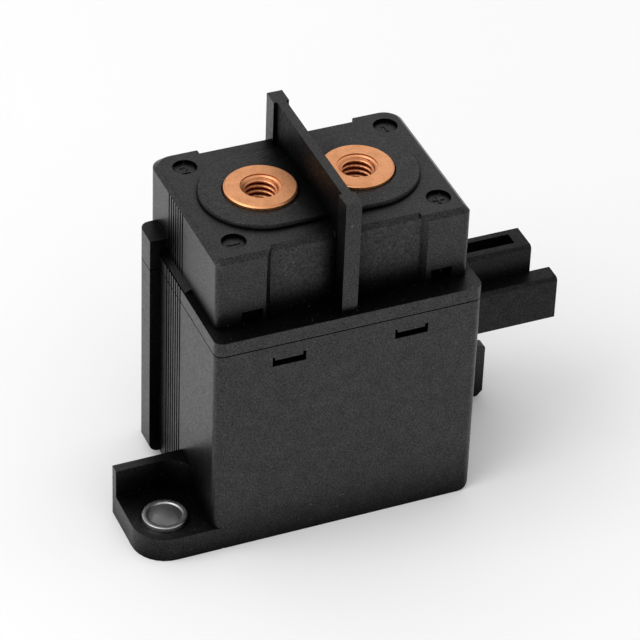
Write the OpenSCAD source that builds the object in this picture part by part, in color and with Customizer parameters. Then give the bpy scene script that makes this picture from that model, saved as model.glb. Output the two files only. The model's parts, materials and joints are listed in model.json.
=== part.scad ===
// Sealed high voltage DC contactor with two threaded copper terminals.
// The origin is the centre of the base face: +X points to the coil connector,
// +Y to the back and +Z up to the terminals. All sizes are in millimetres.

/* [Case] */
// Width of the case, left to right
case_w = 46.2; // [42:0.1:60]
// Depth of the case, front to back
case_d = 34.6; // [31:0.1:46]
// Height of the case up to the parting line
case_h = 39.7; // [35:0.1:60]
// Wall thickness of the case and the tower
wall = 1.6; // [1.2:0.1:1.8]
// Thickness of the case floor
floor_t = 2; // [1.4:0.1:3]
// Radius of the upright corners of the case
corner_r = 1.5; // [0.8:0.1:3]
// Radius of the two long bottom edges
base_r = 2.5; // [1:0.1:4]

/* [Cover] */
// Height of the cover's rim band above the parting line
rim_h = 2.7; // [1.6:0.1:4]
// Height of the dark seam at the parting line
seam_h = 0.2; // [0.1:0.05:0.5]
// Depth of the dark seam
seam_depth = 0.4; // [0.2:0.1:0.8]
// Distance of the terminal tower from the left and right sides of the case
tower_in = 1.3; // [0.8:0.1:2]
// Distance of the tower behind the case front; its back is flush with the case
tower_front_in = 3.8; // [3:0.1:4.2]
// Height of the tower above the rim
tower_h = 13.2; // [11:0.1:20]
// Radius of the tower's front corners
tower_front_r = 0.9; // [0.5:0.1:2]
// Radius of the tower's back corners
tower_back_r = 2.6; // [1:0.1:3]
// Width of the left front pillar
left_pillar_w = 8.5; // [7:0.1:10]
// Width of the right front pillar
right_pillar_w = 7.4; // [6:0.1:10]
// Width of the two back pillars
back_pillar_w = 7.2; // [6:0.1:10]
// Depth of the recessed panels between the pillars
panel_depth = 1; // [0.4:0.1:1.4]
// Bevel along the top edges of the tower
top_bevel = 0.8; // [0.3:0.1:1.2]
// Thickness of the tower's top plate
top_t = 1.8; // [1.4:0.1:2.6]
// Height of the raised pad around the terminals
pad_h = 0.8; // [0.4:0.1:1.4]
// Radius of the raised pad around each terminal
pad_r = 10.2; // [8:0.1:11]
// Diameter of the shallow corner dimples
dimple_d = 4.5; // [3:0.1:5]
// Depth of the corner dimples
dimple_depth = 0.6; // [0.2:0.1:0.8]
// Distance of the left dimples from the tower's left side
dimple_in_left = 4.6; // [3.5:0.1:5]
// Distance of the right dimples from the tower's right side
dimple_in_right = 3.8; // [3.5:0.1:5]
// Distance of the dimples from the tower's front and back
dimple_in_y = 4.6; // [3.5:0.1:5]
// Width of the square holes at the foot of the pillars
slot_w = 3.6; // [2:0.1:4]
// Height of the square holes
slot_h = 2.4; // [1.5:0.1:4]
// Depth of the square holes
slot_depth = 1.2; // [0.6:0.1:1.4]
// Distance of the left front square hole from the tower's left side
slot_in_left = 6.2; // [5:0.1:6.5]
// Distance of the right front square hole from the tower's right side
slot_in_right = 4.7; // [4:0.1:5.5]

/* [Divider] */
// Thickness of the divider between the terminals
divider_t = 1.6; // [1.2:0.1:2.4]
// Height of the divider above the tower
divider_h = 7.9; // [5:0.1:14]
// Width of the divider's end posts
post_w = 2.7; // [2.5:0.1:4]
// Length of the divider's end posts
post_l = 3.1; // [2.6:0.1:4]
// Distance of the front post behind the case front; the back post is flush
post_front_in = 1.1; // [0.4:0.1:1.6]

/* [Snap hooks] */
// Distance of the hooks from the middle of the case
hook_x = 10.6; // [8:0.1:14]
// Width of the windows in the case
window_w = 5.75; // [4:0.05:8]
// Height of the windows in the case
window_h = 1.8; // [1.4:0.1:3]
// Distance of the windows below the parting line
window_drop = 2.2; // [1.6:0.1:5]
// Distance of a hook's nose behind the face of the case
nose_in = 0.15; // [0.05:0.05:0.6]
// Height of the flat face of a hook's nose
nose_h = 0.7; // [0.4:0.1:1]
// Space beside a hook in its window
nose_side = 0.45; // [0.2:0.05:0.8]
// Clearance between the cover's lip and the case
lip_clear = 0.1; // [0.05:0.05:0.2]
// Height of the cover's lip inside the case
lip_h = 1; // [0.8:0.1:2]
// Thickness of the lip and of the hook arms
lip_t = 1; // [0.8:0.1:1.2]

/* [Ribs and rail] */
// Number of grip grooves on the left side
groove_count = 7; // [3:1:8]
// Spacing of the grooves
groove_pitch = 1; // [0.8:0.05:1.05]
// Width of each groove
groove_w = 0.5; // [0.3:0.05:0.6]
// Depth of each groove
groove_depth = 0.45; // [0.2:0.05:0.6]
// Distance of the case grooves in front of the rail
groove_gap = 3.1; // [2.8:0.1:3.6]
// Distance of the tower grooves behind the case grooves
groove_shift = 2.6; // [0:0.1:2.8]
// Depth of the side rail, front to back
rail_d = 5.4; // [4:0.1:6]
// Distance of the rail in front of the case back
rail_back_in = 3.6; // [3:0.1:5]
// Distance of the rail's face from the case
rail_out = 1.7; // [0.8:0.1:2.5]
// Height where the rail's round lower end starts
rail_z = 3.4; // [3.2:0.1:12]
// Height of the rail's upper end above the rim
rail_rise = 3.2; // [1.5:0.1:6]
// Radius of the rail's back corner
rail_r = 1.8; // [1:0.1:3]
// Height of the sloped shoulder between the rim and the tower
shoulder_h = 0.5; // [0.3:0.1:1.2]
// Length of the shoulder in front of the case grooves
shoulder_lead = 1.3; // [0.5:0.1:2]

/* [Feet] */
// Distance that the front foot stands out from the case
foot_reach = 12.1; // [11.5:0.1:18]
// Distance that the back foot stands out from the case
back_foot_reach = 12.4; // [11.5:0.1:18]
// Thickness of the foot plates
foot_t = 4.5; // [3:0.1:7]
// Radius of the foot's outer corner, round its hole
foot_r = 5.75; // [5:0.05:6]
// Distance of the front foot's wall in front of the case grooves
foot_gap = 1; // [0.6:0.1:3]
// Depth of the back foot
back_foot_d = 12.3; // [12:0.1:15]
// Height of the wall along the front foot
foot_wall_h = 10; // [8:0.1:16]
// Height of the wall along the back foot
back_wall_h = 11; // [8:0.1:16]
// Thickness of the wall along each foot
foot_wall_t = 1.7; // [1:0.1:2]
// Radius where the foot wall runs into the case
foot_fillet = 4.3; // [1:0.1:5]
// Radius of the upper outer corner of the back foot's wall
foot_top_r = 0.8; // [0.4:0.1:2]
// Chamfer on the lower corner of the back foot's wall
foot_chamfer = 1; // [0.4:0.1:2]
// Outside diameter of the steel bushes
bush_od = 7.5; // [6.8:0.1:8]
// Diameter of the hole in the steel bushes
bush_hole_d = 5.5; // [5.2:0.1:5.9]
// Distance that a bush stands proud of its foot
bush_proud = 0.8; // [0.1:0.1:1.2]
// Chamfer at both mouths of a bush
bush_chamfer = 0.35; // [0.2:0.05:0.4]

/* [Coil connector] */
// Distance of the connector's front face behind the case front
plug_y = 8.7; // [6:0.1:10]
// Distance of the connector's top below the cover's lip
plug_drop = 0.1; // [0.05:0.05:2]
// Width of the front, lower block
plug_front_w = 3.3; // [2.6:0.1:4.4]
// Width of the back, taller block
plug_back_w = 5.5; // [5:0.1:7]
// Height of the front block
plug_front_h = 8.1; // [7:0.1:9]
// Height of the back block
plug_back_h = 13.3; // [12:0.1:15]
// Distance that the front block stands out from the case
plug_front_l = 17.9; // [16:0.1:22]
// Distance that the back block stands out from the case
plug_back_l = 14.3; // [12:0.1:15.5]
// Radius of the connector's two upper front edges
plug_r = 0.7; // [0.3:0.1:0.9]
// Wall thickness of the connector
plug_wall = 1; // [0.8:0.1:1.2]
// Thickness of the connector's flange inside the case
plug_flange_t = 1.4; // [1:0.1:1.8]
// Distance of the socket's floor outside the case
socket_floor = 1.6; // [1:0.1:3]
// Width of the latch slot in the connector's top
latch_w = 2.5; // [2:0.1:2.9]
// Distance of the latch slot from the connector's end
latch_end = 2.3; // [1.4:0.1:4]
// Distance of the latch slot from the connector's back face
latch_back = 1.2; // [0.8:0.1:1.6]
// Thickness and width of the coil pins
pin_w = 0.8; // [0.6:0.1:1]
// Distance between the two coil pins
pin_pitch = 3.2; // [2.6:0.1:3.6]
// Distance that the pins reach out from the case
pin_reach = 8; // [5:0.1:11]
// Distance that the pins' tails reach in from the case wall
pin_tail_l = 2.6; // [2.2:0.1:3]
// Diameter of the coil leads
lead_d = 0.7; // [0.5:0.05:0.8]
// Distance of the coil leads in front of the yoke
lead_out = 1.2; // [0.8:0.1:1.6]
// Distance of the front lead's start below its pin
front_lead_drop = 4.2; // [4:0.1:5]
// Distance of the back lead's start below its pin
back_lead_drop = 7.2; // [6:0.1:9]

/* [Terminals] */
// Largest diameter of the copper terminals
terminal_d = 12; // [10:0.1:12]
// Smallest space between a terminal and the divider
terminal_gap = 1.4; // [1:0.1:2]
// Distance that a terminal stands proud of its pad
terminal_proud = 0.6; // [0.2:0.1:1.2]
// Height of the wide head of a terminal
head_h = 6.5; // [5:0.1:7.4]
// Diameter of the terminal below its head, as a share of the head's
shank_share = 0.7; // [0.68:0.01:0.75]
// Diameter of the threaded hole before threading
bore_d = 5; // [4.6:0.1:5.4]
// Depth of the threaded hole
bore_depth = 8; // [6:0.1:9]
// Diameter of the hole's countersunk mouth
mouth_d = 6.4; // [6:0.1:7.4]
// Chamfer round the top of a terminal
terminal_chamfer = 0.45; // [0.2:0.05:0.8]
// Clearance round a terminal in the cover
terminal_clear = 0.25; // [0.1:0.05:0.4]

/* [Coil and magnetic circuit] */
// Distance of the coil's top below the parting line
coil_drop = 12.7; // [12.4:0.1:15]
// Clearance between the bobbin and the back of the case
coil_gap = 0.3; // [0.2:0.1:1]
// Thickness of the bobbin's flanges and tube
bobbin_t = 1.2; // [0.8:0.1:1.6]
// Distance that the bobbin's flanges stand out from the winding
flange_over = 1.2; // [1:0.1:2]
// Thickness of the steel yoke
yoke_t = 2; // [1.4:0.1:2.4]
// Width of the steel yoke, front to back
yoke_d = 20; // [16:0.1:22]
// Clearance between the bobbin and the yoke's legs
yoke_clear = 1; // [0.5:0.1:2]
// Diameter of the plunger and the fixed core
plunger_d = 12; // [11:0.1:13]
// Height of the plunger
plunger_h = 10; // [8:0.1:11]
// Sliding clearance of the plunger in its sleeve, on the radius
plunger_clear = 0.2; // [0.15:0.05:0.3]
// Thickness of the guide sleeve
sleeve_t = 0.4; // [0.3:0.05:0.6]
// Thickness of the rubber buffer under the plunger
buffer_t = 1.5; // [1:0.1:2]
// Diameter of the moving shaft
shaft_d = 3; // [2.6:0.1:3.2]
// Sliding clearance of the shaft, on the radius
shaft_clear = 0.2; // [0.15:0.05:0.3]

/* [Contacts] */
// Travel of the contact bridge before it closes
contact_gap = 1.5; // [1:0.1:2.5]
// Extra travel of the plunger after the contacts close
overtravel = 0.5; // [0.3:0.1:0.8]
// Distance of the contact discs from the ends of the bridge
disc_in = 0.9; // [0.5:0.1:1.2]
// Width of the contact bridge
bridge_w = 8; // [7.4:0.1:9]
// Thickness of the contact bridge
bridge_t = 2; // [1.6:0.1:2.6]
// Diameter of the contact discs
disc_d = 6.4; // [5.6:0.1:7]
// Thickness of the contact discs
disc_t = 0.6; // [0.4:0.1:0.8]
// Height of the contact spring
contact_spring_h = 7; // [6:0.1:8]
// Diameter of the springs at the middle of the wire
spring_d = 6; // [5.4:0.1:6.4]
// Diameter of the spring wire
wire_d = 0.7; // [0.5:0.05:0.8]
// Depth of the return spring's seats in the plunger and the core
spring_seat_depth = 4; // [3:0.1:5]
// Height of the spring seat above the core's head
seat_gap = 0.6; // [0.4:0.1:1]
// Thickness of the spring seat and the retaining clip
clip_t = 0.8; // [0.6:0.1:1]

/* [Arc chamber] */
// Wall thickness of the ceramic arc chamber
chamber_t = 2.2; // [1.6:0.1:2.4]
// Space round the bridge inside the chamber
chamber_clear = 2.2; // [1.6:0.1:2.4]
// Height of the metal frame that seals the chamber to the yoke
seal_h = 3; // [2:0.1:4]
// Thickness of the sealing frame
seal_t = 0.8; // [0.6:0.1:1]
// Thickness of the insulating plate under the contacts
insulator_t = 1; // [0.8:0.1:1.4]
// Thickness of the blow-out magnets
magnet_t = 2; // [1.6:0.1:2.2]
// Height of the blow-out magnets
magnet_h = 9; // [7:0.1:10]
// Thickness of the steel bracket round the magnets
bracket_t = 0.8; // [0.6:0.1:1]
// Clearance between the bracket and the tower's side walls
bracket_gap = 0.4; // [0.2:0.1:0.8]

/* [Hidden] */
$fn = 64;
eps = 0.01;
touch = 0.05;
cut = 1;
small_chamfer = 0.4;
fit_gap = 0.1;

plastic = [0.07, 0.07, 0.075];
copper = [0.83, 0.5, 0.3];
steel = [0.7, 0.7, 0.72];
silver = [0.85, 0.85, 0.86];

// Heights of the outer shell
ledge_z = case_h + rim_h;
tower_z = ledge_z + tower_h;
pad_z = tower_z + pad_h;
terminal_z = pad_z + terminal_proud;
shoulder_z = terminal_z - head_h;

// Heights of the coil stack, from the floor up
bobbin_z = floor_t + yoke_t;
plate_z = case_h - coil_drop;
bobbin_h = plate_z - bobbin_z;
plate_top = plate_z + yoke_t;
plunger_z = bobbin_z + sleeve_t + buffer_t;
stroke = contact_gap + overtravel;
core_z = plunger_z + plunger_h + stroke;
core_head_t = 1;
seat_z = plate_top + core_head_t + seat_gap;
bridge_z = seat_z + clip_t + contact_spring_h;
disc_z = bridge_z + bridge_t;
fixed_disc_z = disc_z + disc_t + contact_gap;
shank_z = fixed_disc_z + disc_t;

// Places on the outer shell
left_x = -case_w / 2;
front_y = -case_d / 2;
inner_r = 0.5;
tower_w = case_w - 2 * tower_in;
tower_d = case_d - tower_front_in;
tower_left = -tower_w / 2;
axis_y = tower_front_in / 2;
panel_y = tower_d / 2 - panel_depth;
rail_back = case_d / 2 - rail_back_in;
rail_front = rail_back - rail_d;
groove_front = rail_front - groove_gap - (groove_count - 1) * groove_pitch - groove_w;
front_foot_d = groove_front - foot_gap - front_y;
plug_x = case_w / 2;
plug_front_y = front_y + plug_y;
plug_mid_y = plug_front_y + plug_front_w;
plug_back_y = plug_mid_y + plug_back_w;
plug_z = case_h - lip_h - plug_drop - plug_back_h;
pin_z = plug_z + plug_front_h / 2;
pin_y = (plug_front_y + plug_back_y) / 2;
pin_tail = case_w / 2 - wall - pin_tail_l;
pin_tip = plug_x + pin_reach;

// Sizes of the coil, which fits the depth of the case and leaves room for the leads
lead_room = 0.5;
sleeve_clear = 0.15;
sleeve_flange = 1.4;
head_over = 1.5;
pocket_clear = 0.3;
bobbin_fit_r = pin_tail - lead_d - lead_room - yoke_t - yoke_clear;
bobbin_d = 2 * min(case_d / 2 - wall - axis_y - coil_gap, bobbin_fit_r);
winding_d = bobbin_d - 2 * flange_over;
yoke_in = bobbin_d / 2 + yoke_clear;
sleeve_r = plunger_d / 2 + plunger_clear;
bobbin_bore_r = sleeve_r + sleeve_t + sleeve_clear;
flange_r = bobbin_bore_r + sleeve_flange;
core_head_r = plunger_d / 2 + head_over;
spring_pocket_r = (spring_d + wire_d) / 2 + pocket_clear;
shaft_z = plunger_z + 1;

// Sizes of the arc chamber, which fills the width of the tower, and of the contacts in it
chamber_side = wall + bracket_gap + bracket_t + magnet_t + fit_gap;
chamber_w = tower_w - 2 * chamber_side;
chamber_in_w = chamber_w - 2 * chamber_t;
chamber_in_d = bridge_w + 2 * chamber_clear;
head_room = 1.8;
chamber_out_d = max(chamber_in_d + 2 * chamber_t, 2 * (core_head_r + head_room));
seal_step = 0.2;
seal_w = chamber_w - 2 * seal_step;
seal_d = chamber_out_d - 2 * seal_step;
chamber_z = plate_top + seal_h;
magnet_x = chamber_w / 2 + fit_gap;
magnet_z = fixed_disc_z - contact_gap / 2 - magnet_h / 2;
bridge_l = chamber_in_w - 2 * chamber_clear;
terminal_pitch = bridge_l - disc_d - 2 * disc_in;
terminal_r = min(terminal_d, terminal_pitch - divider_t - 2 * terminal_gap) / 2;
shank_r = shank_share * terminal_r;
bore_wall = 0.6;
bore_r = min(bore_d / 2, shank_r - bore_wall);
mouth_r = bore_r + (mouth_d - bore_d) / 2;

// Points of a round corner, from one angle to another
function arc(c, r, a0, a1, n = 8) =
    [for (i = [0:n]) c + r * [cos(a0 + (a1 - a0) * i / n), sin(a0 + (a1 - a0) * i / n)]];

// Outline of a rectangle with round corners, which may differ at the front and the back
function round_box(w, d, r, back_r = 0) =
    let (b = back_r > 0 ? back_r : r)
    concat(
        arc([w / 2 - b, d / 2 - b], b, 0, 90),
        arc([b - w / 2, d / 2 - b], b, 90, 180),
        arc([r - w / 2, r - d / 2], r, 180, 270),
        arc([w / 2 - r, r - d / 2], r, 270, 360));

// Outline of the tower: four corner pillars with recessed panels between them
function tower_outline() =
    let (
        x = tower_w / 2, y = tower_d / 2, run = panel_depth,
        r = tower_front_r, b = tower_back_r,
        left = x - left_pillar_w, right = x - right_pillar_w, back = x - back_pillar_w
    )
    concat(
        arc([x - b, y - b], b, 0, 90),
        [[back, y], [back - run, panel_y], [run - back, panel_y], [-back, y]],
        arc([b - x, y - b], b, 90, 180),
        arc([r - x, r - y], r, 180, 270),
        [[-left, -y], [run - left, -panel_y], [right - run, -panel_y], [right, -y]],
        arc([x - r, r - y], r, 270, 360));

// Outline of the side rail, round at its back outer corner
function rail_plan(inner_x) =
    let (out = left_x - rail_out, r = rail_r)
    concat(
        arc([out + r, rail_back - r], r, 90, 180),
        [[out, rail_front], [inner_x, rail_front], [inner_x, rail_back]]);

// Outline of a racetrack along X
function racetrack(pitch, r) = concat(
    arc([pitch / 2, 0], r, -90, 90, 24),
    arc([-pitch / 2, 0], r, 90, 270, 24));

// Upright prism from an outline
module prism(z, h, outline) {
    translate([0, 0, z])
        linear_extrude(h)
            polygon(outline);
}

// Prism along Y from an outline in X and Z
module prism_y(y, l, outline) {
    translate([0, y + l, 0])
        rotate([90, 0, 0])
            linear_extrude(l)
                polygon(outline);
}

// Turned piece on the coil axis, from a half section in radius and height
module turned(section) {
    translate([0, axis_y, 0])
        rotate_extrude()
            polygon(section);
}

// Ring on the coil axis
module ring(r_in, r_out, z, h) {
    turned([[r_in, z], [r_out, z], [r_out, z + h], [r_in, z + h]]);
}

// Coil spring on the coil axis with closed ends, swept along its helix
module helix_spring(z0, z1, turns, sides = 8, steps = 14) {
    r = spring_d / 2;
    w = wire_d / 2;
    count = turns * steps;
    points = [
        for (i = [0:count], j = [0:sides - 1])
            let (
                t = i / count,
                a = 360 * turns * t,
                b = 360 * j / sides,
                rise = min(max((t - 1 / turns) / (1 - 2 / turns), 0), 1),
                lift = wire_d * (min(t, 1 / turns) + max(t - 1 + 1 / turns, 0)) * turns,
                z = z0 + w + lift + rise * (z1 - z0 - 3 * wire_d)
            )
            [(r + w * cos(b)) * cos(a), (r + w * cos(b)) * sin(a), z + w * sin(b)]
    ];
    sides_faces = [
        for (i = [0:count - 1], j = [0:sides - 1])
            let (k = (j + 1) % sides)
            [i * sides + j, i * sides + k, (i + 1) * sides + k, (i + 1) * sides + j]
    ];
    end_faces = [
        [for (j = [sides - 1:-1:0]) j],
        [for (j = [0:sides - 1]) count * sides + j]
    ];
    translate([0, axis_y, 0])
        polyhedron(points, concat(sides_faces, end_faces), convexity = 6);
}

// Mounting foot: plate with one round corner, and a wall along its inner side
module foot(reach, depth, wall_h, top_r = 0, chamfer = 0) {
    plate = concat(
        [[-wall, 0]],
        arc([reach - foot_r, foot_r], foot_r, 270, 360),
        [[reach, depth], [-wall, depth]]);
    inside = depth - foot_wall_t;
    fillet = concat(
        [[-wall, inside + eps], [-wall, inside - foot_fillet]],
        arc([foot_fillet, inside - foot_fillet], foot_fillet, 180, 90),
        [[foot_fillet, inside + eps]]);
    corner = top_r > 0
        ? arc([reach - top_r, wall_h - top_r], top_r, 0, 90)
        : [[reach, wall_h]];
    end = reach + eps;
    difference() {
        union() {
            prism(0, foot_t, plate);
            prism(0, wall_h, fillet);
            prism_y(inside, foot_wall_t, concat([[-wall, wall_h], [-wall, 0], [reach, 0]], corner));
        }
        if (chamfer > 0)
            prism_y(-cut, depth + 2 * cut, [[reach - chamfer, -eps], [end, -eps], [end, chamfer]]);
    }
}

// Cutter for the bush's hole in a foot
module foot_hole(reach) {
    translate([reach - foot_r, foot_r, -cut])
        cylinder(d = bush_od, h = foot_t + 2 * cut);
}

// Puts a child at the front left corner, with the foot's round corner outwards
module front_foot_place() {
    translate([left_x, front_y, 0])
        mirror([1, 0, 0])
            children();
}

// Puts a child at the back right corner, with the foot's round corner outwards
module back_foot_place() {
    translate([case_w / 2, case_d / 2, 0])
        mirror([0, 1, 0])
            children();
}

// Side rail on the case, with a round lower end
module case_rail() {
    low = rail_z - rail_out;
    inner_x = left_x + wall;
    section = concat(
        [[left_x - rail_out - cut, case_h], [inner_x + cut, case_h], [inner_x + cut, low]],
        arc([left_x, rail_z], rail_out, 270, 180),
        [[left_x - rail_out - cut, rail_z]]);
    intersection() {
        prism(low, case_h - low, rail_plan(inner_x));
        prism_y(rail_front - cut, rail_d + 2 * cut, section);
    }
}

// Row of grip grooves cut into a left wall
module grooves(x, y, z, h) {
    for (i = [0:groove_count - 1])
        translate([x - cut, y + i * groove_pitch, z])
            cube([cut + groove_depth, groove_w, h]);
}

// Puts children at the four hooks: front and back, left and right
module at_hooks() {
    for (side = [0, 1], x = [-hook_x, hook_x])
        mirror([0, side, 0])
            translate([x, front_y, 0])
                children();
}

// Outline of the coil connector seen from its end, grown by a margin at the sides and on top
module plug_section(grow, grow_top) {
    translate([plug_front_y - grow, plug_z - grow])
        square([plug_front_w + plug_back_w + 2 * grow, plug_front_h + grow + grow_top]);
    translate([plug_mid_y - grow, plug_z - grow])
        square([plug_back_w + 2 * grow, plug_back_h + grow + grow_top]);
}

// Extrudes a section in Y and Z along +X
module along_x(x, l) {
    translate([x, 0, 0])
        rotate([90, 0, 90])
            linear_extrude(l)
                children();
}

module case() {
    base_section = concat(
        arc([left_x + base_r, base_r], base_r, 180, 270),
        arc([-left_x - base_r, base_r], base_r, 270, 360),
        [[-left_x, case_h], [left_x, case_h]]);
    color(plastic)
    difference() {
        union() {
            intersection() {
                prism(0, case_h, round_box(case_w, case_d, corner_r));
                prism_y(front_y - cut, case_d + 2 * cut, base_section);
            }
            front_foot_place() foot(foot_reach, front_foot_d, foot_wall_h);
            back_foot_place()
                foot(back_foot_reach, back_foot_d, back_wall_h, foot_top_r, foot_chamfer);
            case_rail();
        }
        prism(floor_t, case_h, round_box(case_w - 2 * wall, case_d - 2 * wall, inner_r));
        front_foot_place() foot_hole(foot_reach);
        back_foot_place() foot_hole(back_foot_reach);
        at_hooks()
            translate([-window_w / 2, -cut, case_h - window_drop - window_h])
                cube([window_w, wall + 2 * cut, window_h]);
        grooves(left_x, groove_front, -cut, case_h + 2 * cut);
        along_x(plug_x - wall - cut, wall + 2 * cut) plug_section(fit_gap, fit_gap);
    }
}

module cover() {
    color(plastic) {
        cover_body();
        shoulder();
    }
}

// Cover without its shoulder, which runs on over the grooves
module cover_body() {
    lip_w = case_w - 2 * (wall + lip_clear);
    lip_d = case_d - 2 * (wall + lip_clear);
    hook_top = case_h - window_drop - touch;
    hook_lift = 0.3;
    hook_low = case_h - window_drop - window_h + hook_lift;
    hook_h = hook_top - hook_low;
    arm_y = wall + lip_clear;
    nose_w = window_w - 2 * nose_side;
    nose_y = nose_in - arm_y;
    cavity_w = tower_w - 2 * wall;
    cavity_d = 2 * min(panel_y - wall, lip_d / 2 - lip_t - axis_y);
    front_post_y = front_y + post_front_in;
    back_post_y = case_d / 2 - post_l;
    divider_y = front_post_y + post_l / 2;
    dimple_xs = [dimple_in_left - tower_w / 2, tower_w / 2 - dimple_in_right];
    dimple_y = tower_d / 2 - dimple_in_y;
    slot_xs = [slot_in_left - tower_w / 2, tower_w / 2 - slot_in_right];
    back_slot_x = (tower_w - back_pillar_w) / 2;
    seam_w = case_w - 2 * seam_depth;
    seam_d = case_d - 2 * seam_depth;
    bevel_w = tower_w - 2 * top_bevel;
    bevel_d = tower_d - 2 * top_bevel;
    difference() {
        union() {
            // Rim plate with the seam, and the lip that locates it in the case
            prism(case_h + seam_h, rim_h - seam_h, round_box(case_w, case_d, corner_r));
            prism(case_h, seam_h + eps, round_box(seam_w, seam_d, corner_r));
            prism(case_h - lip_h, lip_h + eps, round_box(lip_w, lip_d, inner_r));
            // Hook arms with their noses in the windows of the case
            at_hooks() {
                translate([-nose_w / 2, arm_y, hook_low])
                    cube([nose_w, lip_t, case_h - hook_low]);
                translate([-nose_w / 2, arm_y, hook_low])
                    rotate([90, 0, 90])
                        linear_extrude(nose_w)
                            polygon([[eps, 0], [nose_y, hook_h - nose_h],
                                [nose_y, hook_h], [eps, hook_h]]);
            }
            // Tower with bevelled top edges
            translate([0, axis_y, 0])
            intersection() {
                prism(ledge_z - eps, tower_h + eps, tower_outline());
                hull() {
                    prism(ledge_z - cut, tower_h + cut - top_bevel,
                        round_box(tower_w, tower_d, tower_front_r, tower_back_r));
                    prism(tower_z - cut, cut, round_box(bevel_w, bevel_d, tower_front_r, tower_back_r));
                }
            }
            // Raised pad round both terminals
            translate([0, axis_y, 0])
            hull() {
                prism(tower_z - eps, pad_h / 2, racetrack(terminal_pitch, pad_r));
                prism(tower_z, pad_h, racetrack(terminal_pitch, pad_r - pad_h / 3));
            }
            // Divider between the terminals, with a post at each end and a web down to the rim
            translate([-divider_t / 2, divider_y, tower_z - eps])
                cube([divider_t, back_post_y + post_l / 2 - divider_y, divider_h + eps]);
            translate([-divider_t / 2, divider_y, ledge_z - eps])
                cube([divider_t, axis_y - panel_y + wall / 2 - divider_y, tower_h + 2 * eps]);
            for (y = [front_post_y, back_post_y])
                translate([-post_w / 2, y, ledge_z - eps])
                    cube([post_w, post_l, tower_h + divider_h + eps]);
            // Upper end of the side rail
            prism(case_h + seam_h, rim_h - seam_h + rail_rise, rail_plan(tower_left + wall / 2));
        }
        // Hollow inside
        prism(case_h - lip_h - cut, lip_h + cut, round_box(lip_w - 2 * lip_t, lip_d - 2 * lip_t, inner_r));
        translate([0, axis_y, 0])
            prism(case_h - cut, tower_z - top_t - case_h + cut, round_box(cavity_w, cavity_d, inner_r));
        // Holes for the terminals
        for (x = [-terminal_pitch / 2, terminal_pitch / 2])
            translate([x, axis_y, tower_z - top_t - cut])
                cylinder(r = terminal_r + terminal_clear, h = top_t + pad_h + 2 * cut);
        // Shallow corner dimples
        for (x = dimple_xs, sy = [-1, 1])
            translate([x, axis_y + sy * dimple_y, tower_z - dimple_depth])
                cylinder(d = dimple_d, h = dimple_depth + cut);
        // Square holes at the foot of the pillars
        translate([0, axis_y, 0]) {
            for (x = slot_xs)
                pillar_slot(x, -tower_d / 2);
            for (x = [-back_slot_x, back_slot_x])
                pillar_slot(x, tower_d / 2);
        }
        // Bevel along the top of the recessed panels
        translate([0, axis_y, 0]) {
            panel_bevel(right_pillar_w);
            mirror([1, 0, 0])
                panel_bevel(left_pillar_w);
            mirror([0, 1, 0]) {
                panel_bevel(back_pillar_w);
                mirror([1, 0, 0])
                    panel_bevel(back_pillar_w);
            }
        }
        grooves(left_x, groove_front, case_h - cut, rim_h + cut + eps);
        grooves(tower_left, groove_front + groove_shift, ledge_z, tower_h - top_bevel);
    }
}

// Cutter for the square hole in a pillar's outer face
module pillar_slot(x, y) {
    translate([x - slot_w / 2, y - slot_depth, ledge_z])
        cube([slot_w, 2 * slot_depth, slot_h]);
}

// Bevel cutter along the right half of a recessed panel, clear of the divider's post
module panel_bevel(pillar) {
    l = tower_w / 2 - pillar - panel_depth - post_w / 2;
    translate([post_w / 2, 0, tower_z])
        rotate([90, 0, 90])
            linear_extrude(l)
                polygon([[-panel_y - eps, eps], [-panel_y - eps, -top_bevel],
                    [-panel_y + top_bevel, eps]]);
}

// Slope between the rim's left edge and the tower, up to the rail
module shoulder() {
    front = groove_front - shoulder_lead;
    edge_x = left_x + groove_depth / 2;
    prism_y(front, rail_front - front + eps,
        [[edge_x, ledge_z - eps], [tower_left + eps, ledge_z - eps],
        [tower_left + eps, ledge_z + shoulder_h], [edge_x, ledge_z + touch]]);
}

// Steel bush pressed into a foot, chamfered at both mouths
module foot_bush(reach) {
    r_in = bush_hole_d / 2;
    r_out = bush_od / 2;
    h = foot_t + bush_proud;
    c = bush_chamfer;
    translate([reach - foot_r, foot_r, 0])
        rotate_extrude()
            polygon([[r_in + c, 0], [r_out, 0], [r_out, h - c / 2], [r_out - c / 2, h],
                [r_in + c, h], [r_in, h - c], [r_in, c]]);
}

module foot_bush_front() {
    color(steel) front_foot_place() foot_bush(foot_reach);
}

module foot_bush_back() {
    color(steel) back_foot_place() foot_bush(back_foot_reach);
}

// Section of one connector block in Y and Z, round at its upper front edge
function plug_block(y0, y1, h) = concat(
    [[y0, plug_z], [y1, plug_z], [y1, plug_z + h]],
    arc([y0 + plug_r, plug_z + h - plug_r], plug_r, 90, 180));

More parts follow.
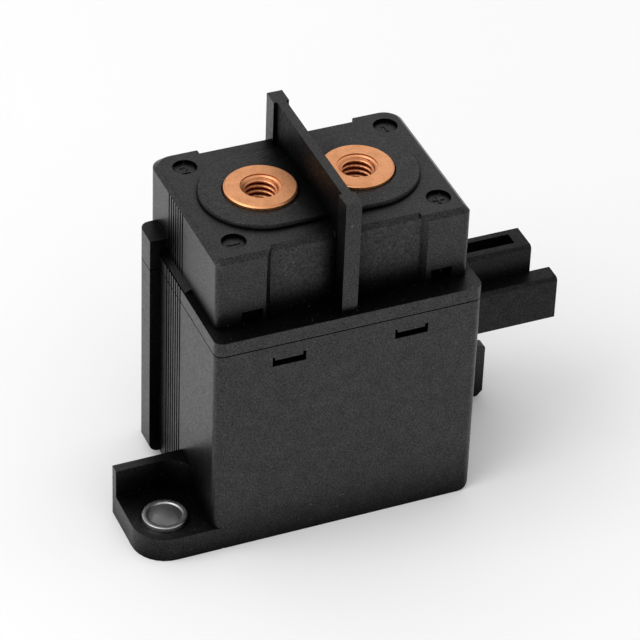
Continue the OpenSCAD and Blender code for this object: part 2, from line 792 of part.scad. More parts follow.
// Shroud of the coil plug: a low and a tall block round one socket, with a latch slot on top
module coil_connector() {
    flange_x = plug_x - wall - plug_flange_t;
    flange_grow = 1;
    socket_x = plug_x + socket_floor;
    latch_y = plug_back_y - latch_back - latch_w;
    latch_l = plug_x + plug_back_l - latch_end - socket_x;
    color(plastic)
    difference() {
        union() {
            along_x(flange_x, plug_flange_t - eps) plug_section(flange_grow, 0);
            along_x(flange_x, plug_x + plug_front_l - flange_x)
                polygon(plug_block(plug_front_y, plug_mid_y + eps, plug_front_h));
            along_x(flange_x, plug_x + plug_back_l - flange_x)
                polygon(plug_block(plug_mid_y, plug_back_y, plug_back_h));
        }
        translate([socket_x, plug_front_y + plug_wall, plug_z + plug_wall])
            cube([plug_front_l, plug_front_w + plug_back_w - 2 * plug_wall, plug_front_h - 2 * plug_wall]);
        translate([socket_x, latch_y, plug_z + plug_front_h - plug_wall - eps])
            cube([latch_l, latch_w, plug_back_h]);
        for (side = [-1, 1])
            translate([flange_x - cut, pin_y + side * pin_pitch / 2 - pin_w / 2, pin_z - pin_w / 2])
                cube([socket_x - flange_x + 2 * cut, pin_w, pin_w]);
    }
}

// Square pin with a tapered tip
module coil_pin(side) {
    l = pin_tip - pin_tail;
    color(steel)
    translate([pin_tail, pin_y + side * pin_pitch / 2, pin_z])
        intersection() {
            translate([0, -pin_w / 2, -pin_w / 2])
                cube([l, pin_w, pin_w]);
            prism_y(-pin_w, 2 * pin_w, [[0, -pin_w], [l - pin_w, -pin_w / 2], [l, -pin_w / 5],
                [l, pin_w / 5], [l - pin_w, pin_w / 2], [0, pin_w]]);
        }
}

module coil_pin_front() {
    coil_pin(-1);
}

module coil_pin_back() {
    coil_pin(1);
}

// Unit vector along a vector
function unit(v) = v / norm(v);

// Round wire swept through a few points, with a mitred ring at each
module wire(points, d, sides = 10) {
    last = len(points) - 1;
    rings = [
        for (i = [0:last], j = [0:sides - 1])
            let (
                before = unit(points[max(i, 1)] - points[max(i, 1) - 1]),
                after = unit(points[min(i + 1, last)] - points[min(i, last - 1)]),
                along = unit(before + after),
                across = unit(cross(along, [0, 0, 1])),
                a = 360 * j / sides
            )
            points[i] + d / 2 * (cos(a) * across + sin(a) * cross(across, along))
    ];
    side_faces = [
        for (i = [0:last - 1], j = [0:sides - 1])
            let (a = i * sides + j, b = i * sides + (j + 1) % sides)
            each [[a, b, b + sides], [a, b + sides, a + sides]]
    ];
    end_faces = [
        [for (j = [sides - 1:-1:0]) j],
        [for (j = [0:sides - 1]) last * sides + j]
    ];
    polyhedron(rings, concat(side_faces, end_faces));
}

// Lead from the winding, past the side of the yoke, to the tail of its pin
module coil_lead(side, z) {
    a = -58;
    r = (winding_d + lead_d) / 2;
    bend_y = axis_y - yoke_d / 2 - lead_out;
    end_x = pin_tail - lead_d / 2 - touch;
    color([0.55, 0.25, 0.12])
    wire([
        [r * cos(a), axis_y + r * sin(a), z],
        [yoke_in + yoke_t / 2, bend_y, z],
        [end_x, bend_y, z],
        [end_x, pin_y + side * pin_pitch / 2, pin_z]
    ], lead_d);
}

module coil_lead_front() {
    coil_lead(-1, pin_z - front_lead_drop);
}

module coil_lead_back() {
    coil_lead(1, pin_z - back_lead_drop);
}

// Copper terminal: wide head with a countersunk threaded hole, shank down to the contact
module terminal() {
    r = terminal_r;
    c = terminal_chamfer;
    top = terminal_z;
    rotate_extrude()
        polygon([
            [0, shank_z], [shank_r, shank_z], [shank_r, shoulder_z], [r, shoulder_z],
            [r, top - c], [r - c, top], [mouth_r, top], [bore_r, top - (mouth_r - bore_r)],
            [bore_r, top - bore_depth], [0, top - bore_depth - bore_r / 2]
        ]);
}

module terminal_left() {
    color(copper) translate([-terminal_pitch / 2, axis_y, 0]) terminal();
}

module terminal_right() {
    color(copper) translate([terminal_pitch / 2, axis_y, 0]) terminal();
}

// Contact disc with a chamfer on the face that meets the other disc
module contact_disc(side, z, face_up) {
    r = disc_d / 2;
    c = disc_t / 3;
    section = face_up
        ? [[0, 0], [r, 0], [r, disc_t - c], [r - c, disc_t], [0, disc_t]]
        : [[0, 0], [r - c, 0], [r, c], [r, disc_t], [0, disc_t]];
    color(silver)
    translate([side * terminal_pitch / 2, axis_y, z])
        rotate_extrude()
            polygon(section);
}

module fixed_contact_left() {
    contact_disc(-1, fixed_disc_z, false);
}

module fixed_contact_right() {
    contact_disc(1, fixed_disc_z, false);
}

module moving_contact_left() {
    contact_disc(-1, disc_z, true);
}

module moving_contact_right() {
    contact_disc(1, disc_z, true);
}

module contact_bridge() {
    color(copper)
    translate([0, axis_y, 0])
    difference() {
        prism(bridge_z, bridge_t, round_box(bridge_l, bridge_w, 2));
        translate([0, 0, bridge_z - cut])
            cylinder(d = shaft_d + 2 * shaft_clear, h = bridge_t + 2 * cut);
    }
}

module contact_spring() {
    color(steel) helix_spring(seat_z + clip_t + touch, bridge_z - touch, 5);
}

module spring_seat() {
    color(steel) ring(shaft_d / 2, spring_d / 2 + wire_d, seat_z, clip_t);
}

// Open clip in a groove of the shaft, above the bridge
module retaining_clip() {
    r_in = shaft_d / 2;
    clip_w = 1.3;
    mouth = 1.2 * r_in;
    color(steel)
    difference() {
        ring(r_in, r_in + clip_w, disc_z + touch, clip_t);
        translate([-mouth / 2, axis_y - r_in - clip_w - cut, disc_z])
            cube([mouth, r_in + clip_w + cut, clip_t + cut]);
    }
}

module shaft() {
    r = shaft_d / 2;
    c = small_chamfer;
    top = disc_z + clip_t + 2 * c;
    color(steel)
    turned([[0, shaft_z], [r, shaft_z], [r, top - c], [r - c, top], [0, top]]);
}

// Moving core with a blind hole for the shaft and a seat for the return spring
module plunger() {
    r = plunger_d / 2;
    c = small_chamfer;
    top = plunger_z + plunger_h;
    pocket_z = top - spring_seat_depth;
    color(steel)
    turned([
        [0, plunger_z], [r - c, plunger_z], [r, plunger_z + c], [r, top - c], [r - c, top],
        [spring_pocket_r, top], [spring_pocket_r, pocket_z], [shaft_d / 2, pocket_z],
        [shaft_d / 2, shaft_z], [0, shaft_z]
    ]);
}

module return_spring() {
    color(steel)
    helix_spring(
        plunger_z + plunger_h - spring_seat_depth + touch,
        core_z + spring_seat_depth - touch, 6);
}

// Fixed core: headed cylinder through the yoke's top plate, bored for the shaft
module fixed_core() {
    r = plunger_d / 2;
    hole_r = shaft_d / 2 + shaft_clear;
    head_z = plate_top + core_head_t;
    pocket_z = core_z + spring_seat_depth;
    color(steel)
    turned([
        [spring_pocket_r, core_z], [r, core_z], [r, plate_top], [core_head_r, plate_top],
        [core_head_r, head_z], [hole_r, head_z], [hole_r, pocket_z], [spring_pocket_r, pocket_z]
    ]);
}

// Thin cup that guides the plunger, with a flange under the yoke's top plate
module guide_sleeve() {
    color(silver)
    turned([
        [0, bobbin_z], [sleeve_r + sleeve_t, bobbin_z], [sleeve_r + sleeve_t, plate_z - sleeve_t],
        [flange_r, plate_z - sleeve_t], [flange_r, plate_z], [sleeve_r, plate_z],
        [sleeve_r, bobbin_z + sleeve_t], [0, bobbin_z + sleeve_t]
    ]);
}

module buffer_pad() {
    hole_r = 1.2;
    color([0.1, 0.1, 0.1]) ring(hole_r, sleeve_r - small_chamfer, bobbin_z + sleeve_t, buffer_t);
}

// Bobbin: tube with two flanges, recessed on top for the sleeve's flange
module bobbin() {
    r = bobbin_d / 2;
    t = bobbin_t;
    tube_r = bobbin_bore_r + t;
    recess_r = flange_r + touch;
    recess_z = plate_z - sleeve_t - touch;
    color([0.85, 0.82, 0.72])
    turned([
        [bobbin_bore_r, bobbin_z], [r, bobbin_z], [r, bobbin_z + t], [tube_r, bobbin_z + t],
        [tube_r, plate_z - t], [r, plate_z - t], [r, plate_z], [recess_r, plate_z],
        [recess_r, recess_z], [bobbin_bore_r, recess_z]
    ]);
}

module coil_winding() {
    color([0.6, 0.27, 0.12])
    ring(bobbin_bore_r + bobbin_t, winding_d / 2, bobbin_z + bobbin_t, bobbin_h - 2 * bobbin_t);
}

// Steel strap bent to a U round the bobbin
module yoke_frame() {
    x = yoke_in + yoke_t;
    r_in = 0.6;
    r_out = yoke_t + r_in;
    outline = concat(
        [[-x, plate_z]],
        arc([r_out - x, floor_t + r_out], r_out, 180, 270),
        arc([x - r_out, floor_t + r_out], r_out, 270, 360),
        [[x, plate_z], [yoke_in, plate_z]],
        arc([yoke_in - r_in, bobbin_z + r_in], r_in, 360, 270, 4),
        arc([r_in - yoke_in, bobbin_z + r_in], r_in, 270, 180, 4),
        [[-yoke_in, plate_z]]);
    color(steel) prism_y(axis_y - yoke_d / 2, yoke_d, outline);
}

module yoke_top_plate() {
    plate_w = max(2 * (yoke_in + yoke_t), chamber_w);
    plate_d = max(yoke_d, chamber_out_d) + 2;
    color(steel)
    translate([0, axis_y, 0])
    difference() {
        prism(plate_z, yoke_t, round_box(plate_w, plate_d, 1.5));
        translate([0, 0, plate_z - cut])
            cylinder(d = plunger_d, h = yoke_t + 2 * cut);
    }
}

// Plate that keeps arcs off the yoke, open round the core's head
module insulating_plate() {
    edge = seal_t + fit_gap;
    hole_r = core_head_r + fit_gap;
    color([0.8, 0.75, 0.6])
    translate([0, axis_y, 0])
    difference() {
        prism(plate_top, insulator_t, round_box(seal_w - 2 * edge, seal_d - 2 * edge, 1.5));
        translate([0, 0, plate_top - cut])
            cylinder(r = hole_r, h = insulator_t + 2 * cut);
    }
}

// Thin metal frame that seals the ceramic chamber to the yoke's top plate
module seal_frame() {
    r = 2;
    in_w = seal_w - 2 * seal_t;
    in_d = seal_d - 2 * seal_t;
    color(silver)
    translate([0, axis_y, 0])
    difference() {
        prism(plate_top, seal_h, round_box(seal_w, seal_d, r));
        prism(plate_top - cut, seal_h + 2 * cut, round_box(in_w, in_d, r - seal_t));
    }
}

// Ceramic box, open below, with a hole for each terminal's shank
module arc_chamber() {
    roof_z = shoulder_z - chamber_t;
    color([0.93, 0.92, 0.88])
    translate([0, axis_y, 0])
    difference() {
        prism(chamber_z, shoulder_z - chamber_z, round_box(chamber_w, chamber_out_d, 2.4));
        prism(chamber_z - cut, roof_z - chamber_z + cut, round_box(chamber_in_w, chamber_in_d, 1.6));
        for (x = [-terminal_pitch / 2, terminal_pitch / 2])
            translate([x, 0, roof_z - cut])
                cylinder(r = shank_r + fit_gap, h = chamber_t + 2 * cut);
    }
}

// Blow-out magnet at one end of the chamber, centred on the contact gap
module magnet(side) {
    color([0.3, 0.3, 0.32])
    translate([side * (magnet_x + magnet_t / 2), axis_y, 0])
        prism(magnet_z, magnet_h, round_box(magnet_t, chamber_in_d, small_chamfer));
}

module magnet_left() {
    magnet(-1);
}

module magnet_right() {
    magnet(1);
}

// Steel strip bent round the back of the chamber, which joins the two magnets
module magnet_bracket() {
    x = magnet_x + magnet_t;
    back = chamber_out_d / 2 + fit_gap;
    front = -chamber_in_d / 2;
    out_x = x + bracket_t;
    out_back = back + bracket_t;
    r = 1.4;
    color(steel)
    translate([0, axis_y, 0])
        prism(magnet_z, magnet_h, concat(
            [[-out_x, front], [-x, front], [-x, back], [x, back], [x, front], [out_x, front]],
            arc([out_x - r, out_back - r], r, 0, 90),
            arc([r - out_x, out_back - r], r, 90, 180)));
}

case();
cover();
foot_bush_front();
foot_bush_back();
coil_connector();
coil_pin_front();
coil_pin_back();
coil_lead_front();
coil_lead_back();
terminal_left();
terminal_right();
fixed_contact_left();
fixed_contact_right();
contact_bridge();
moving_contact_left();
moving_contact_right();
contact_spring();
spring_seat();
retaining_clip();
shaft();
plunger();
return_spring();
fixed_core();
guide_sleeve();
buffer_pad();
bobbin();
coil_winding();
yoke_frame();
yoke_top_plate();
insulating_plate();
seal_frame();
arc_chamber();
magnet_left();
magnet_right();
magnet_bracket();
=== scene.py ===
import json
import math

import bmesh
import bpy
from mathutils import Matrix, Vector


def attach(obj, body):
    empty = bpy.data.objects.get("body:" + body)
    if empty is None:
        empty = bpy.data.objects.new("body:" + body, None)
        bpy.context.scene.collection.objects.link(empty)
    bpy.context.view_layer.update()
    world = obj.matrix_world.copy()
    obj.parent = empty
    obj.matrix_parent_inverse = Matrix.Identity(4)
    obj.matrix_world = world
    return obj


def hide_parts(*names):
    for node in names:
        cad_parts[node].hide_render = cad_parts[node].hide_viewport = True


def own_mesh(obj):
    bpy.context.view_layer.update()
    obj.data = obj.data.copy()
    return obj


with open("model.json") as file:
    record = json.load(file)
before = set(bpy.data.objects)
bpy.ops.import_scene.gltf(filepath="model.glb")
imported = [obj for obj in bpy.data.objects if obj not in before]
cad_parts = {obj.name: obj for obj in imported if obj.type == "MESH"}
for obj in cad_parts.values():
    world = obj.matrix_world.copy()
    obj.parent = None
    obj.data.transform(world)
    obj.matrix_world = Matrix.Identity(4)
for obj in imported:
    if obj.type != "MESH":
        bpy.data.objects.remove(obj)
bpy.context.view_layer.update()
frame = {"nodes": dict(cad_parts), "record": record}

MM = 0.001

# Places on the CAD model, in millimetres
TERMINAL_X, TERMINAL_Y, TERMINAL_TOP = 8.4, 1.9, 57.0
DIMPLES = {
    "minus": (-17.2, -8.9),
    "plus": (18.0, -8.9),
    "two": (-17.2, 12.7),
    "one": (18.0, 12.7),
}
DIMPLE_FLOOR = 55.0
DIVIDER_Y, DIVIDER_FOOT = 0.55, 56.45
DIVIDER_HALF_THICK, DIVIDER_HALF_LONG = 1.0, 13.6

SHINE = "Specular IOR Level"

record = frame["record"]
node_slot = {s["node"]: s["material_slot"] for s in record["subparts"]}
node_body = {n: b for b, ns in record["behaviour"]["bodies"].items() for n in ns}
collection = bpy.context.scene.collection


# Node-tree helpers


def new_material(name):
    mat = bpy.data.materials.new(name)
    mat.use_nodes = True
    tree = mat.node_tree
    return mat, tree, tree.nodes["Principled BSDF"]


def add(tree, kind, **inputs):
    node = tree.nodes.new(kind)
    for key, value in inputs.items():
        node.inputs[key.replace("_", " ")].default_value = value
    return node


def coords(tree):
    return tree.nodes.new("ShaderNodeTexCoord").outputs["Object"]


def split(tree, vector):
    """The X, Y and Z of a vector."""
    node = tree.nodes.new("ShaderNodeSeparateXYZ")
    tree.links.new(vector, node.inputs["Vector"])
    return node.outputs["X"], node.outputs["Y"], node.outputs["Z"]


def noise(tree, vector, scale, detail=3.0, roughness=0.55):
    node = add(tree, "ShaderNodeTexNoise", Scale=scale, Detail=detail, Roughness=roughness)
    tree.links.new(vector, node.inputs["Vector"])
    return node.outputs["Fac"]


def ramp(tree, fac, stops):
    node = tree.nodes.new("ShaderNodeValToRGB")
    elements = node.color_ramp.elements
    while len(elements) < len(stops):
        elements.new(0.5)
    for element, (pos, color) in zip(elements, stops):
        element.position = pos
        element.color = (*color, 1.0)
    tree.links.new(fac, node.inputs["Fac"])
    return node.outputs["Color"]


def grey(v):
    return (v, v, v)


def remap(tree, fac, low, high, out_low, out_high):
    node = add(
        tree, "ShaderNodeMapRange", From_Min=low, From_Max=high, To_Min=out_low, To_Max=out_high
    )
    tree.links.new(fac, node.inputs["Value"])
    return node.outputs["Result"]


def blend(tree, fac, color, other):
    """A linked colour that turns to another, fixed one."""
    node = tree.nodes.new("ShaderNodeMix")
    node.data_type = "RGBA"
    tree.links.new(fac, node.inputs[0])
    tree.links.new(color, node.inputs[6])
    node.inputs[7].default_value = (*other, 1.0)
    return node.outputs[2]


def math_node(tree, operation, *values):
    node = tree.nodes.new("ShaderNodeMath")
    node.operation = operation
    for socket, value in zip(node.inputs, values):
        if isinstance(value, float):
            socket.default_value = value
        else:
            tree.links.new(value, socket)
    return node.outputs["Value"]


def product(tree, first, *others):
    for other in others:
        first = math_node(tree, "MULTIPLY", first, other)
    return first


def scale_input(tree, socket, factor):
    """Multiplies what feeds a socket of the shader."""
    target = tree.nodes["Principled BSDF"].inputs[socket]
    tree.links.new(product(tree, target.links[0].from_socket, factor), target)


def bump(tree, height, strength, distance):
    node = add(tree, "ShaderNodeBump", Strength=strength, Distance=distance)
    tree.links.new(height, node.inputs["Height"])
    return node.outputs["Normal"]


# Materials


def moulded(name, dark, light, fleck, rough, shine=0.5):
    """Moulded plastic: fine grain in the sheen, sparse pale flecks of filler and a spark-eroded texture."""
    grain_scale, fleck_scale, mottle_scale = 3400.0, 2300.0, 480.0
    fleck_from, fleck_full = 0.74, 0.80
    rough_spread, grain_depth = 0.05, 0.06 * MM
    mat, tree, bsdf = new_material(name)
    at = coords(tree)
    grain = noise(tree, at, grain_scale, 2.0, 0.65)
    flecks = noise(tree, at, fleck_scale, 1.0, 0.4)
    base = ramp(tree, grain, [(0.35, dark), (0.65, light)])
    flecked = blend(tree, remap(tree, flecks, fleck_from, fleck_full, 0.0, 1.0), base, fleck)
    tree.links.new(flecked, bsdf.inputs["Base Color"])
    mottle = remap(tree, noise(tree, at, mottle_scale, 5.0, 0.6), 0.3, 0.7, 0.86, 1.14)
    sheen = remap(tree, grain, 0.3, 0.7, shine * 0.5, shine * 1.5)
    tree.links.new(product(tree, sheen, mottle), bsdf.inputs[SHINE])
    roughness = remap(tree, grain, 0.3, 0.7, rough + rough_spread, rough - rough_spread)
    tree.links.new(roughness, bsdf.inputs["Roughness"])
    tree.links.new(bump(tree, grain, 0.3, grain_depth), bsdf.inputs["Normal"])
    return mat


def metal(name, base, worn, rough, streak=2600.0, relief=0.03, stretch=6.0):
    """Metal with fine tool marks and a slightly uneven tone."""
    cloud_scale, mark_depth = 420.0, 0.03 * MM
    mat, tree, bsdf = new_material(name)
    at = coords(tree)
    scale = add(tree, "ShaderNodeMapping", Scale=(1.0, 1.0, stretch))
    tree.links.new(at, scale.inputs["Vector"])
    marks = noise(tree, scale.outputs["Vector"], streak, 3.0)
    cloud = noise(tree, at, cloud_scale, 4.0)
    mean = product(tree, math_node(tree, "ADD", cloud, marks), 0.5)
    tone = ramp(tree, mean, [(0.38, worn), (0.58, base)])
    tree.links.new(tone, bsdf.inputs["Base Color"])
    roughness = remap(tree, marks, 0.3, 0.7, rough - 0.05, rough + 0.07)
    tree.links.new(roughness, bsdf.inputs["Roughness"])
    tree.links.new(bump(tree, marks, relief, mark_depth), bsdf.inputs["Normal"])
    bsdf.inputs["Metallic"].default_value = 1.0
    return mat


def paint_divider_shade(mat):
    """Painted shade on the flat faces of the divider between its posts: less shine darkens them, and their
    roughness is raised.
    """
    steepest = 0.7
    tree = mat.node_tree
    x, y, z = split(tree, coords(tree))
    across = math_node(tree, "ABSOLUTE", x)
    along = math_node(tree, "ABSOLUTE", math_node(tree, "SUBTRACT", y, DIVIDER_Y * MM))
    normal = tree.nodes.new("ShaderNodeTexCoord").outputs["Normal"]
    sideways = math_node(tree, "ABSOLUTE", split(tree, normal)[0])
    divider_shade = product(
        tree,
        math_node(tree, "LESS_THAN", across, DIVIDER_HALF_THICK * MM),
        math_node(tree, "LESS_THAN", along, DIVIDER_HALF_LONG * MM),
        math_node(tree, "GREATER_THAN", z, DIVIDER_FOOT * MM),
        math_node(tree, "GREATER_THAN", sideways, steepest),
    )
    # Painted shade: the shine of these faces is cut to darken them.
    scale_input(tree, SHINE, remap(tree, divider_shade, 0.0, 1.0, 1.0, 0.3))
    scale_input(tree, "Roughness", remap(tree, divider_shade, 0.0, 1.0, 1.0, 1.5))


def paint_corner_shade(mat):
    """Painted shade: less shine where the surface sees little of its surroundings, which darkens inner
    corners, recesses and the lowest millimetres beside the floor.
    """
    reach, closed, free, least = 12 * MM, 0.45, 0.93, 0.04
    tree = mat.node_tree
    corner_shade_ao = add(tree, "ShaderNodeAmbientOcclusion", Distance=reach)
    corner_shade_ao.samples = 8
    # Painted shade: the shine falls away as the occlusion closes in.
    scale_input(tree, SHINE, remap(tree, corner_shade_ao.outputs["AO"], closed, free, least, 1.0))


def paint_thread_shade(mat, root_shade_color):
    """Painted shade: a deeper, darker colour in the roots of the terminals' threads, round the two terminal
    axes.
    """
    crest, root, bore = 2.58, 2.85, 3.3
    first, full, last = TERMINAL_TOP - 0.4, TERMINAL_TOP - 0.9, TERMINAL_TOP - 9.0
    tree = mat.node_tree
    color = tree.nodes["Principled BSDF"].inputs["Base Color"]
    x, y, z = split(tree, coords(tree))
    across = math_node(tree, "SUBTRACT", math_node(tree, "ABSOLUTE", x), TERMINAL_X * MM)
    along = math_node(tree, "SUBTRACT", y, TERMINAL_Y * MM)
    square = math_node(tree, "ADD", product(tree, across, across), product(tree, along, along))
    radius = math_node(tree, "SQRT", square)
    root_shade = product(
        tree,
        remap(tree, radius, crest * MM, root * MM, 0.0, 1.0),
        remap(tree, z, first * MM, full * MM, 0.0, 1.0),
        math_node(tree, "LESS_THAN", radius, bore * MM),
        math_node(tree, "GREATER_THAN", z, last * MM),
    )
    # Painted shade: the root colour is blended in deep in the thread.
    tree.links.new(blend(tree, root_shade, color.links[0].from_socket, root_shade_color), color)


materials = {
    "black_plastic": moulded(
        "black_plastic", grey(0.0005), grey(0.0014), grey(0.07), 0.36, 0.46
    ),
    # Painted shade: a copy of the black plastic with less shine, darker, for the connector's faces that
    # stand in shade.
    "connector_plastic_shaded": moulded(
        "connector_plastic_shaded", grey(0.0005), grey(0.0012), grey(0.05), 0.4, 0.2
    ),
    "bobbin_plastic": moulded(
        "bobbin_plastic", (0.62, 0.55, 0.42), (0.72, 0.66, 0.52), (0.8, 0.74, 0.6), 0.5
    ),
    "rubber": moulded("rubber", grey(0.01), grey(0.018), grey(0.03), 0.8, 0.3),
    "ceramic": moulded(
        "ceramic", (0.8, 0.79, 0.75), (0.87, 0.86, 0.83), (0.92, 0.91, 0.88), 0.45
    ),
    "copper": metal(
        "copper", (0.93, 0.44, 0.215), (0.76, 0.34, 0.15), 0.42, 3200.0, 0.08, 1.0
    ),
    "bush_steel": metal("bush_steel", grey(0.46), grey(0.38), 0.3, relief=0.015),
    "steel": metal("steel", grey(0.55), grey(0.46), 0.36),
    "silver_alloy": metal("silver_alloy", grey(0.82), grey(0.74), 0.3),
    "pin_metal": metal("pin_metal", (0.76, 0.74, 0.68), (0.66, 0.63, 0.56), 0.3),
    "enamelled_wire": metal("enamelled_wire", (0.5, 0.17, 0.06), (0.42, 0.13, 0.04), 0.32),
    "magnet": metal("magnet", grey(0.2), grey(0.14), 0.45),
}
# Painted shade on the divider's flat faces.
paint_divider_shade(materials["black_plastic"])
# Painted shade in the inner corners of the black plastic.
paint_corner_shade(materials["black_plastic"])
# Painted shade in the roots of the copper threads.
paint_thread_shade(materials["copper"], (0.2, 0.02, 0.008))


# Meshes


def mesh_object(name, bm, slot, body):
    mesh = bpy.data.meshes.new(name)
    bm.to_mesh(mesh)
    bm.free()
    obj = bpy.data.objects.new(name, mesh)
    collection.objects.link(obj)
    mesh.materials.append(materials[slot])
    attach(obj, body)
    return obj


def smooth_by_angle(bm, degrees):
    limit = math.radians(degrees)
    for face in bm.faces:
        face.smooth = True
    for edge in bm.edges:
        edge.smooth = len(edge.link_faces) == 2 and edge.calc_face_angle(math.pi) < limit


def dressed(node, width, shaded_material=None):
    """A CAD node's shell with its sharp edges broken as a mould would leave them."""
    weld, flat, sharp, crease = 2e-6, math.radians(0.4), math.radians(35), 42
    clear_of_dimple, dimple_reach, dimple_scale = 2.7, 2.5, 0.91
    room = 2.4 * width
    bm = bmesh.new()
    bm.from_mesh(frame["nodes"][node].data)
    bmesh.ops.remove_doubles(bm, verts=bm.verts, dist=weld)
    bmesh.ops.dissolve_limit(bm, angle_limit=flat, verts=bm.verts, edges=bm.edges)
    bm.normal_update()

    def in_dimple(edge):
        return any(
            (v.co.xy / MM - Vector(c)).length < clear_of_dimple
            for v in edge.verts
            for c in DIMPLES.values()
        )

    def is_free(edge):
        """Whether an edge is sharp, and long enough to be broken without reaching its neighbours."""
        if len(edge.link_faces) != 2 or edge.calc_face_angle(0.0) <= sharp:
            return False
        if edge.calc_length() < room or in_dimple(edge):
            return False
        near = [e for v in edge.verts for e in v.link_edges if e is not edge]
        return all(e.calc_length() >= room for e in near)

    for vert in bm.verts:
        for centre in DIMPLES.values():
            away = vert.co.xy - Vector(centre) * MM
            if away.length < dimple_reach * MM and vert.co.z > (DIMPLE_FLOOR - 0.1) * MM:
                vert.co.xy = Vector(centre) * MM + away * dimple_scale
    chosen = [e for e in bm.edges if is_free(e)]
    bmesh.ops.bevel(
        bm, geom=chosen, offset=width, segments=2, profile=0.6, affect="EDGES", clamp_overlap=True
    )
    smooth_by_angle(bm, crease)
    obj = mesh_object(node + "_shell", bm, node_slot[node], node_body[node])
    # A material in place of the slot's, used only for the connector's painted-shade copy.
    if shaded_material:
        obj.data.materials[0] = materials[shaded_material]
    obj.modifiers.new("normals", "WEIGHTED_NORMAL").keep_sharp = True
    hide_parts(node)


def lathe(name, node, rings, steps, centre, crease):
    """A turned mesh in place of a node, from rings of a radius and a height.

    A radius may be a function of the angle, and None is a point on the axis.
    """
    bm = bmesh.new()
    rows = []
    for radius, height in rings:
        angles = [0.0] if radius is None else [2 * math.pi * k / steps for k in range(steps)]
        row = []
        for a in angles:
            r = radius(a) if callable(radius) else radius or 0.0
            place = centre + Vector((r * math.cos(a), r * math.sin(a), height))
            row.append(bm.verts.new(place * MM))
        rows.append(row)
    for low, high in zip(rows, rows[1:]):
        for k in range(steps):
            n = (k + 1) % steps
            if len(low) == 1:
                bm.faces.new((low[0], high[n], high[k]))
            elif len(high) == 1:
                bm.faces.new((low[k], low[n], high[0]))
            else:
                bm.faces.new((low[k], low[n], high[n], high[k]))
    bmesh.ops.remove_doubles(bm, verts=bm.verts, dist=1e-7)
    bmesh.ops.recalc_face_normals(bm, faces=bm.faces)
    smooth_by_angle(bm, crease)
    obj = mesh_object(name, bm, node_slot[node], node_body[node])
    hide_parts(node)


def extents(node):
    """Centre in X and Y, and the lowest and highest Z, of a CAD node, in millimetres."""
    places = [v.co / MM for v in frame["nodes"][node].data.vertices]
    low = [min(p[i] for p in places) for i in range(3)]
    high = [max(p[i] for p in places) for i in range(3)]
    return Vector(((low[0] + high[0]) / 2, (low[1] + high[1]) / 2, 0.0)), low[2], high[2]


def thread_radius(z, angle, minor, major=3.02, pitch=1.0):
    """Radius of an internal right-hand thread at a height and an angle."""
    start, root_flat, flank = 0.2, 0.15, 0.6
    phase = ((z + start) / pitch - angle / (2 * math.pi)) % 1.0
    t = abs(phase - 0.5) * 2
    return major - (major - minor) * min(max((t - root_flat) / flank, 0.0), 1.0)


def terminal(node):
    """Turned copper terminal with an M6 thread cut into the CAD node's plain hole."""
    depth, minor, mouth, step, cone = 8.0, 2.5, 3.35, 0.3, 1.6
    outer, edge, head, shank = 6.0, 0.25, 6.5, 4.2
    fade, rows_per_mm, steps, crease = 0.8, 20, 128, 28
    centre, low, top = extents(node)
    rows = rows_per_mm * int(depth)
    rings = [(None, top - depth - minor / 2)]
    for i in range(rows + 1):
        z = depth * (i / rows - 1)
        countersink = mouth + cone * min(z + step, 0.0)
        runout = min(max((z + depth) / fade, 0.0), 1.0)

        def radius(a, z=z, countersink=countersink, runout=runout):
            return max(minor + runout * (thread_radius(z, a, minor) - minor), countersink)

        rings.append((radius, top + z))
    rings += [
        (outer - edge, top),
        (outer - 0.9 * edge, top - 0.04),
        (outer - 0.05, top - 0.9 * edge),
        (outer, top - edge),
        (outer, top - head),
        (shank, top - head),
        (shank, low),
        (None, low),
    ]
    lathe(node + "_threaded", node, rings, steps, centre, crease)


def bush(node):
    """Turned steel bush with rolled edges."""
    hole, outer, flare, edge = 2.75, 3.75, 0.35, 0.18
    arc_steps, steps, crease = 6, 96, 38
    centre, low, top = extents(node)
    rings = [(hole, low + flare), (hole, top - flare)]
    for i in range(1, arc_steps + 1):
        a = math.radians(180 - 90 / arc_steps * i)
        rings.append((hole + flare + flare * math.cos(a), top - flare + flare * math.sin(a)))
    for i in range(arc_steps + 1):
        a = math.radians(90 - 90 / arc_steps * i)
        rings.append((outer - edge + edge * math.cos(a), top - edge + edge * math.sin(a)))
    rings += [(outer, low), (hole + flare, low), (hole, low + flare)]
    lathe(node + "_turned", node, rings, steps, centre, crease)


def sprung(node):
    """A coil spring in place of its CAD node, smooth-shaded, on a mesh of its own."""
    crease = 40
    bm = bmesh.new()
    bm.from_mesh(frame["nodes"][node].data)
    smooth_by_angle(bm, crease)
    obj = mesh_object(node + "_coil", bm, node_slot[node], node_body[node])
    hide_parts(node)
    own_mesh(obj)


def ribbon(points, width):
    """Outline of a stroke of one width along a line of points, with mitred bends."""
    points = [Vector(p) for p in points]
    left, right = [], []
    for i, p in enumerate(points):
        before = (p - points[i - 1]).normalized() if i else None
        after = (points[i + 1] - p).normalized() if i + 1 < len(points) else None
        along = ((before or after) + (after or before)).normalized()
        across = Vector((-along.y, along.x))
        side = before or after
        reach = width / 2 / max(across.dot(Vector((-side.y, side.x))), 0.5)
        left.append(p + across * reach)
        right.append(p - across * reach)
    return left + right[::-1]


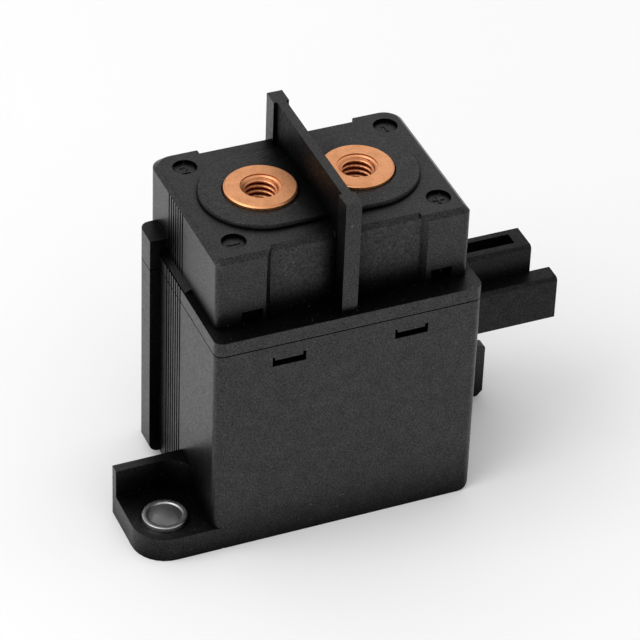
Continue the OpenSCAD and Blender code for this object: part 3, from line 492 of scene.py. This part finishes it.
def mark(name, outline, x, y):
    """A raised sign standing on the floor of a dimple."""
    height, edge = 0.14, 0.04
    bm = bmesh.new()
    places = [((x + p[0]) * MM, (y + p[1]) * MM) for p in outline]
    low = [bm.verts.new((*p, DIMPLE_FLOOR * MM)) for p in places]
    high = [bm.verts.new((*p, (DIMPLE_FLOOR + height) * MM)) for p in places]
    bm.faces.new(high)
    bm.faces.new(low[::-1])
    count = len(outline)
    for i in range(count):
        j = (i + 1) % count
        bm.faces.new((low[i], low[j], high[j], high[i]))
    bmesh.ops.recalc_face_normals(bm, faces=bm.faces)
    middle = (DIMPLE_FLOOR + height / 2) * MM
    top_edges = [e for e in bm.edges if all(v.co.z > middle for v in e.verts)]
    bmesh.ops.bevel(bm, geom=top_edges, offset=edge * MM, segments=1, affect="EDGES")
    mesh_object(name, bm, "black_plastic", "root")


for name, obj in frame["nodes"].items():
    obj.data.materials.clear()
    obj.data.materials.append(materials[node_slot[name]])

dressed("case", 0.22 * MM)
dressed("cover", 0.18 * MM)
# The connector takes the darker copy of the black plastic, which paints shade on it.
dressed("coil_connector", 0.3 * MM, "connector_plastic_shaded")
for node in ("terminal_left", "terminal_right"):
    terminal(node)
for node in ("foot_bush_front", "foot_bush_back"):
    bush(node)
sprung("return_spring")
sprung("contact_spring")

# Signs in the corner dimples: minus and plus at the front, two and one at the back
arm, half = 0.95, 0.17
signs = {
    "minus": ribbon([(-1.0, 0.0), (1.0, 0.0)], 2 * half),
    "plus": [
        (-arm, -half), (-half, -half), (-half, -arm), (half, -arm), (half, -half), (arm, -half),
        (arm, half), (half, half), (half, arm), (-half, arm), (-half, half), (-arm, half),
    ],
    "two": ribbon(
        [
            (-0.53, 0.41), (-0.41, 0.7), (-0.08, 0.84), (0.26, 0.74),
            (0.43, 0.43), (0.33, 0.1), (-0.51, -0.78), (0.62, -0.78),
        ],
        2 * half,
    ),
    "one": ribbon([(-0.45, 0.42), (0.08, 0.87), (0.08, -0.9)], 2 * half),
}
for name, outline in signs.items():
    mark("sign_" + name, outline, *DIMPLES[name])


# Camera at the photograph's angle


right = Vector((0.9238, -0.3816, 0.0313))
up = Vector((0.2083, 0.5694, 0.7952))
back = Vector((-0.3213, -0.7281, 0.6056))
camera_place = Vector((-0.18945, -0.43399, 0.38959))
camera_data = bpy.data.cameras.new("camera")
camera_data.sensor_width = 36.0
camera_data.sensor_fit = "HORIZONTAL"
camera_data.lens = 203.3
camera_data.clip_start = 0.01
camera_data.clip_end = 20.0
camera = bpy.data.objects.new("camera", camera_data)
turn = Matrix((right, up, back)).transposed().to_4x4()
camera.matrix_world = Matrix.Translation(camera_place) @ turn
collection.objects.link(camera)
bpy.context.scene.camera = camera


# Floor, world and lamp


floor_reach, floor_drop = 3.0, 0.05 * MM
floor_corners = [(-1, -1), (1, -1), (1, 1), (-1, 1)]
floor_mesh = bpy.data.meshes.new("floor")
floor_mesh.from_pydata(
    [(x * floor_reach, y * floor_reach, 0.0) for x, y in floor_corners], [], [(0, 1, 2, 3)]
)
floor = bpy.data.objects.new("floor", floor_mesh)
floor.location.z = -floor_drop
collection.objects.link(floor)
floor_mat, floor_tree, floor_bsdf = new_material("floor_paper")
floor_cloud = noise(floor_tree, coords(floor_tree), 4.0)
floor_color = ramp(floor_tree, floor_cloud, [(0.3, grey(0.93)), (0.7, grey(0.95))])
floor_tree.links.new(floor_color, floor_bsdf.inputs["Base Color"])
floor_bsdf.inputs["Roughness"].default_value = 0.9
floor_mesh.materials.append(floor_mat)

world = bpy.data.worlds.new("studio")
bpy.context.scene.world = world
world.use_nodes = True
background = world.node_tree.nodes["Background"]
background.inputs["Color"].default_value = (1.0, 1.0, 1.0, 1.0)
background.inputs["Strength"].default_value = 0.8

key_place, key_target = Vector((-0.55, -0.05, 0.7)), Vector((0.0, 0.0, 0.04))
key_data = bpy.data.lights.new("key", "AREA")
key_data.shape = "SQUARE"
key_data.size = 0.7
key_data.energy = 3.4
key = bpy.data.objects.new("key", key_data)
key.location = key_place
key.rotation_euler = (key_target - key_place).to_track_quat("-Z", "Y").to_euler()
collection.objects.link(key)

bpy.context.scene.view_settings.view_transform = "Standard"
